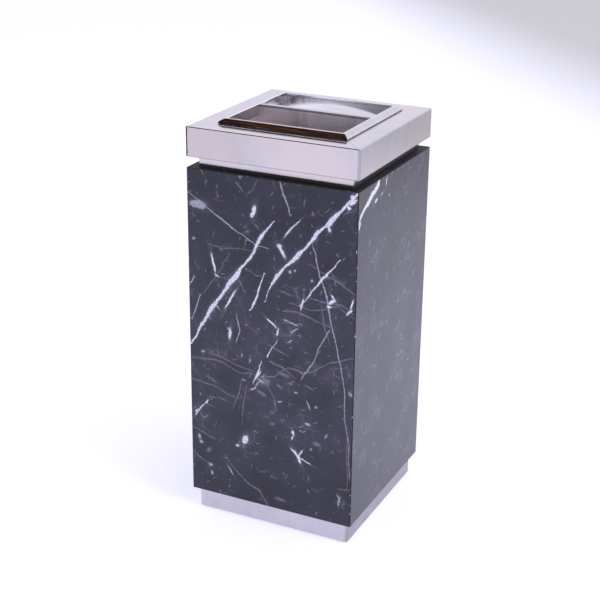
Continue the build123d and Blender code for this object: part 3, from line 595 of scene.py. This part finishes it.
def drawn(r, flat, drawing):
    """Nearness to the lines of one class: 1 on the edge of a vein or a stroke, less inside it.

    Each line's nodes take the nearness so far as a weightless input. That keeps them in one chain,
    which the renderer works through with a small stack.
    """
    across_mm, down_mm, _ = r.axes(flat)
    across = r.maths("DIVIDE", across_mm, SLAB_WIDTH)
    down = r.maths("DIVIDE", down_mm, SLAB_HEIGHT)
    nearest = FAR
    for upright, kind in ((False, "veins"), (True, "uprights")):
        for points in drawing.get(kind, []):
            here, there = (down, across) if upright else (across, down)
            chained = r.maths("MULTIPLY_ADD", nearest, WEIGHTLESS, here)
            nearest = r.maths("MINIMUM", vein_reach(r, chained, there, points, upright), nearest)
    for across_at, down_at, length, rise, width in drawing.get("strokes", []):
        chained = r.joined(across_mm, down_mm, nearest)
        centre = (across_at * SLAB_WIDTH, down_at * SLAB_HEIGHT)
        inside = r.local(chained, centre, math.radians(-rise), (length / 2, width / 2))
        nearest = r.maths("MINIMUM", r.vector("LENGTH", inside), nearest)
    return nearest


def vein_white(r, ragged, drawing, grit):
    """The white of a slab's drawn lines, class by class, with a faint glow around each."""
    white = 0.0
    for kind, (strength, blur) in STONE_CLASSES.items():
        reach = drawn(r, ragged, drawing.get(kind, {}))
        reach = r.maths("MULTIPLY", reach, r.ranged(grit, 0.3, 0.7, 0.72, 1.40))
        body = r.ranged(reach, 1.0 + blur / 2, 1.0 - blur / 2, 0.0, strength, smooth=True)
        halo = r.ranged(reach, 3.0, 0.9, 0.0, 0.06 * strength, smooth=True)
        white = r.maths("MAXIMUM", white, r.maths("MAXIMUM", body, halo))
    return white


def fleck_reach(r, flat, cell, length, width, share):
    """How far the point is from a fleck's middle, in fleck sizes: one fleck in some of the cells."""
    spots = r.cells(1 / cell, flat, dimensions="2D")
    chance = r.axes(spots["Color"])
    turned = r.add("ShaderNodeVectorRotate", rotation_type="Z_AXIS")
    r.feed(turned.inputs["Vector"], r.vector("SUBTRACT", flat, spots["Position"]))
    r.feed(turned.inputs["Angle"], r.maths("MULTIPLY", chance[0], math.pi))
    squeezed = r.vector("MULTIPLY", turned.outputs[0], (2 / length, 2 / width, 0))
    missing = r.maths("GREATER_THAN", chance[1], share)
    return r.maths("MULTIPLY_ADD", missing, FAR, r.vector("LENGTH", squeezed))


def with_flecks(r, white, ragged, patch):
    """The white with flecks of broken vein added, each at its own angle, fewer where patch is low."""
    busy = r.ranged(patch, 0.40, 0.62)
    for cell, length, width, share, strength in FLECKS:
        reach = fleck_reach(r, ragged, cell, length, width, share)
        fleck = r.ranged(reach, 1.15, 0.75, 0.0, strength, smooth=True)
        white = r.maths("MAXIMUM", white, r.maths("MULTIPLY", fleck, r.ranged(busy, 0, 1, 0.35, 1.0)))
    return white


def with_webs(r, white, crooked, patch):
    """The white with webs of hairlines added where patch is high."""
    for cell, level, strength in WEBS:
        edge = r.cells(1 / cell, crooked, "DISTANCE_TO_EDGE", dimensions="2D")
        line = r.ranged(r.maths("MULTIPLY", edge["Distance"], cell), 0.9, 0.2, 0.0, strength)
        web = r.maths("MULTIPLY", line, r.ranged(patch, level, level + 0.10))
        white = r.maths("ADD", white, web)
    return white


def ground_colour(r, flat, down_mm, cloud, patch):
    """Blue-black stone, with a paler bed across the slab's middle and a little grey dust."""
    ground = r.mixed(r.ranged(cloud, 0.36, 0.66), (0.0070, 0.0063, 0.0170), (0.0200, 0.0185, 0.0430))
    from_bed = r.maths("ABSOLUTE", r.maths("ADD", down_mm, -0.56 * SLAB_HEIGHT))
    bed = r.ranged(from_bed, 260, 60, smooth=True)
    bed = r.maths("MULTIPLY", bed, r.ranged(patch, 0.35, 0.65, 0.1, 0.6))
    ground = r.mixed(bed, ground, (0.046, 0.044, 0.076))
    dust = r.ranged(r.noise(1.1, 2, 0.8, at=flat), 0.60, 0.78, 0.0, 0.08)
    return r.mixed(dust, ground, (0.20, 0.20, 0.25))


def slab_place(r, angle):
    """Metres behind a slab's face, and millimetres across and down it from its top left corner.

    The last two lean with the depth, so that the figure runs on askew over the slab's edges.
    """
    turn = math.radians(angle)
    along = r.vector("DOT_PRODUCT", r.place, (math.cos(turn), math.sin(turn), 0))
    outwards = r.vector("DOT_PRODUCT", r.place, (math.sin(turn), -math.cos(turn), 0))
    depth = r.maths("SUBTRACT", -SLAB_LOW[1], outwards)
    height = r.axes(r.place)[2]
    leaning_along = r.maths("MULTIPLY_ADD", depth, 0.35, along)
    leaning_height = r.maths("MULTIPLY_ADD", depth, 0.5, height)
    across_mm = r.maths("MULTIPLY_ADD", leaning_along, 1000, SLAB_WIDTH / 2)
    down_mm = r.maths("MULTIPLY_ADD", leaning_height, -1000, SLAB_HIGH[2] * 1000)
    return depth, across_mm, down_mm


def marble(name, angle, drawing):
    """Polished black marble with white veins, on the slab whose face is turned by angle from the front."""
    r = Recipe(name)
    depth, across_mm, down_mm = slab_place(r, angle)
    # The third number moves the random part of the figure, so that no two slabs share it.
    flat = r.joined(across_mm, down_mm, angle * 1.7)
    bend = r.vector("SUBTRACT", r.noise(0.03, 2, 0.5, at=flat, colour=True), (0.5, 0.5, 0.5))
    jag = r.vector("SUBTRACT", r.noise(0.22, 3, 0.65, at=flat, colour=True), (0.5, 0.5, 0.5))
    bent = r.vector("ADD", flat, r.vector("SCALE", bend, 7.0))
    ragged = r.vector("ADD", bent, r.vector("SCALE", jag, 4.5))
    crooked = r.vector("ADD", ragged, r.vector("SCALE", jag, 14.0))

    patch = r.noise(0.018, 3, 0.6, at=flat)
    white = vein_white(r, ragged, drawing, grit=r.noise(0.9, 3, 0.7, at=flat))
    grain = r.ranged(r.noise(0.32, 4, 0.75, at=flat), 0.38, 0.60, 0.50, 1.06)
    white = r.maths("MULTIPLY", white, grain)
    white = with_flecks(r, white, ragged, patch)
    white = with_webs(r, white, crooked, patch)

    cloud = r.noise(0.011, 5, 0.62, at=flat)
    face = r.mixed(white, ground_colour(r, flat, down_mm, cloud, patch), (0.78, 0.77, 0.93))
    # Behind the face lie the ground edges, dark with white nicks, and the slab's unpolished rest.
    behind_face = r.maths("GREATER_THAN", depth, 0.00008)
    nick = r.ranged(r.noise(90, 2, 0.6), 0.64, 0.70)
    nick = r.maths("MULTIPLY", nick, r.maths("LESS_THAN", depth, 0.0012))
    rough_stone = r.mixed(nick, (0.004, 0.004, 0.006), (0.60, 0.60, 0.72))
    colour = r.mixed(behind_face, face, rough_stone)
    polish = r.ranged(r.maths("ADD", cloud, white), 0.3, 1.2, 0.13, 0.24)
    roughness = r.maths("MAXIMUM", polish, r.maths("MULTIPLY", behind_face, 0.6))
    r.bumped(r.noise(5), 0.05, 0.004)
    return r.finish(colour, roughness, IOR=1.45)


# ---- other materials -------------------------------------------------------------------------------


def rubber(name):
    r = Recipe(name)
    grain = r.noise(1500, 2, 0.6)
    colour = r.mixed(grain, (0.012, 0.012, 0.013), (0.028, 0.028, 0.030))
    r.bumped(grain, 0.25, 0.0002)
    return r.finish(colour, r.ranged(grain, 0.3, 0.7, 0.62, 0.80))


def galvanised(name, crystals_per_metre):
    """Zinc spangle: flat crystals, each with its own grey and dullness."""
    r = Recipe(name)
    bent = r.vector("ADD", r.place, r.vector("SCALE", r.noise(140, 2, colour=True), 0.004))
    tone = r.axes(r.cells(crystals_per_metre, bent)["Color"])
    colour = r.mixed(tone[0], (0.42, 0.44, 0.46), (0.66, 0.68, 0.70))
    r.bumped(tone[1], 0.06, 0.0004)
    return r.finish(colour, r.ranged(tone[2], 0, 1, 0.30, 0.52), Metallic=1.0)


def zinc_plate(name):
    r = Recipe(name)
    tone_patches = r.noise(260, 4, 0.6)
    colour = r.mixed(tone_patches, (0.55, 0.55, 0.52), (0.74, 0.73, 0.68))
    r.bumped(tone_patches, 0.1, 0.0002)
    return r.finish(colour, r.ranged(tone_patches, 0.3, 0.7, 0.26, 0.42), Metallic=1.0)


def black_paint(name):
    """Semi-matt paint with the fine orange peel of a sprayed steel angle."""
    r = Recipe(name)
    peel = r.noise(420, 3, 0.55)
    dust = r.noise(24, 4, 0.6)
    colour = r.mixed(r.ranged(dust, 0.45, 0.75), (0.020, 0.020, 0.022), (0.055, 0.053, 0.050))
    r.bumped(peel, 0.20, 0.0003)
    return r.finish(colour, r.ranged(peel, 0.3, 0.7, 0.40, 0.55))


def moulded_plastic(name):
    """Grained black plastic with a rib every 4 mm along the grip."""
    r = Recipe(name)
    grain = r.noise(900, 3, 0.6)
    ribs = r.maths("SINE", r.maths("MULTIPLY", r.axes(r.place)[0], 2 * math.pi / 0.004))
    colour = r.mixed(grain, (0.018, 0.018, 0.020), (0.040, 0.040, 0.043))
    r.bumped(r.maths("ADD", grain, r.maths("MULTIPLY", ribs, 1.5)), 0.35, 0.0005)
    return r.finish(colour, r.ranged(grain, 0.3, 0.7, 0.45, 0.60))


def adhesive(name):
    r = Recipe(name)
    smear = r.noise(90, 4, 0.6)
    colour = r.mixed(smear, (0.36, 0.34, 0.29), (0.56, 0.53, 0.46))
    r.bumped(smear, 0.5, 0.001)
    return r.finish(colour, 0.7)


def dress(material, *nodes):
    """Give a material to CAD nodes in place of the one they were packed with."""
    for name in nodes:
        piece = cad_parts[name]
        piece.data.materials.clear()
        piece.data.materials.append(material)


# ---- stage ---------------------------------------------------------------------------------------

FLOOR_HALF = 12.0
FLOOR_GLOW = (0.92, 0.92, 1.22)
GLOW_FADES_TOWARDS = (0.75, 0.66, 0)


def add_floor():
    """A wide pale floor that glows almost white, except far behind the bin on the right."""
    low, high = -FLOOR_HALF, FLOOR_HALF
    mesh = bpy.data.meshes.new("floor")
    mesh.from_pydata(
        [(low, low, 0), (high, low, 0), (high, high, 0), (low, high, 0)], [], [(0, 1, 2, 3)]
    )
    floor = bpy.data.objects.new("floor", mesh)
    bpy.context.scene.collection.objects.link(floor)
    r = Recipe("floor")
    colour = r.mixed(r.noise(30, 3), (0.86, 0.86, 0.86), (0.90, 0.90, 0.90))
    away = r.ranged(r.vector("DOT_PRODUCT", r.place, GLOW_FADES_TOWARDS), 1.5, 2.5, smooth=True)
    r.feed(r.shader.inputs["Emission Color"], r.mixed(away, FLOOR_GLOW, (0.0, 0.0, 0.0)))
    floor.data.materials.append(r.finish(colour, 0.9, Emission_Strength=0.42))


def add_world():
    """A white room with one dark gap high on the left, in which warm patches show."""
    world = bpy.data.worlds.new("studio")
    bpy.context.scene.world = world
    world.use_nodes = True
    r = Nodes(world.node_tree)
    direction = r.add("ShaderNodeTexCoord").outputs["Generated"]
    x, y, z = r.axes(direction)
    across = r.ranged(r.maths("ABSOLUTE", r.maths("ADD", x, 0.43)), 0.26, 0.15, smooth=True)
    above = r.ranged(z, 0.22, 0.36, smooth=True)
    before = r.ranged(y, 0.68, 0.57, smooth=True)
    gap = r.product(before, above, across)
    patches = r.noise(1.0, 3, 0.6, at=r.vector("MULTIPLY", direction, (85, 12, 12)))
    dark = r.mixed(r.ranged(patches, 0.56, 0.64), (0.010, 0.008, 0.009), (0.34, 0.13, 0.045))
    white = r.mixed(r.ranged(z, 0.0, 0.6), (1.22, 1.22, 1.40), (0.80, 0.79, 0.86))
    shader = world.node_tree.nodes["Background"]
    r.feed(shader.inputs["Color"], r.mixed(gap, white, dark))
    shader.inputs["Strength"].default_value = 0.95


def add_softbox(name, place, size, power):
    """A square area light that faces the middle of the bin."""
    light = bpy.data.lights.new(name, "AREA")
    light.energy = power
    light.size = size
    lamp = bpy.data.objects.new(name, light)
    lamp.location = place
    aim = Vector((0, 0, 0.4)) - Vector(place)
    lamp.rotation_euler = aim.to_track_quat("-Z", "Y").to_euler()
    bpy.context.scene.collection.objects.link(lamp)


add_camera()
add_floor()
add_world()
add_softbox("key", (2.6, -0.5, 1.9), 1.6, 30)
add_softbox("fill", (-2.4, -0.6, 2.2), 1.6, 15)
bpy.context.scene.view_settings.view_transform = "Standard"

# ---- the bin ---------------------------------------------------------------------------------------

CORNERS = ("front_left", "front_right", "back_left", "back_right")
SIDES = ("front", "right", "back", "left")

dress(satin_steel("satin_cap", CAP_TINT, rough=0.09, marks=cap_marks), "lid_cap")
dress(satin_steel("satin_neck", CAP_TINT, rough=0.22), "lid_neck", "lid_under_plate")
dress(
    satin_steel("satin_plinth", PLINTH_TINT, rough=0.30, stained=0.15, marks=plinth_shade_and_smudges),
    "plinth_skirt",
)
dress(satin_steel("satin_ring", RING_TINT, rough=0.30), "plinth_top_ring", "plinth_foot_ring")
dress(
    satin_steel("satin_inner", INNER_LIT_TINT, rough=0.42, marks=inner_drags), "litter_chute", "pan_well"
)
dress(polished_steel("polished_rim", RIM_TINT, rough=0.03), "insert_rim")
dress(polished_steel("polished_divider", DIVIDER_SHADED_TINT, rough=0.12), "divider_bar")
dress(polished_steel("polished_pan", PAN_TINT, rough=0.10, marks=pan_streaks_and_shade), "ash_pan")
for side, angle, drawing in (
    ("front", 0, FRONT), ("right", 90, RIGHT), ("back", 180, BACK), ("left", 270, LEFT)
):
    dress(marble(f"marble_{side}", angle, drawing), f"marble_{side}")
dress(rubber("black_rubber"), "lid_gasket", *[f"rubber_foot_{corner}" for corner in CORNERS])
dress(
    galvanised("galvanised_sheet", 110), "base_plate", "bucket_floor", "bucket_rim_wire",
    "bucket_ear_left", "bucket_ear_right", *[f"bucket_wall_{side}" for side in SIDES],
)
dress(galvanised("galvanised_wire", 300), "bail_handle")
dress(black_paint("painted_steel"), "top_frame", *[f"corner_post_{corner}" for corner in CORNERS])
dress(
    satin_steel("mill_tab", TAB_TINT, rough=0.40), *[f"locating_tab_{side}" for side in SIDES]
)
dress(zinc_plate("zinc_fixings"), "base_screws", "base_nuts", "ear_rivets", "frame_rivets")
dress(moulded_plastic("grip_plastic"), "bail_grip")
dress(adhesive("adhesive"), "adhesive_strips")
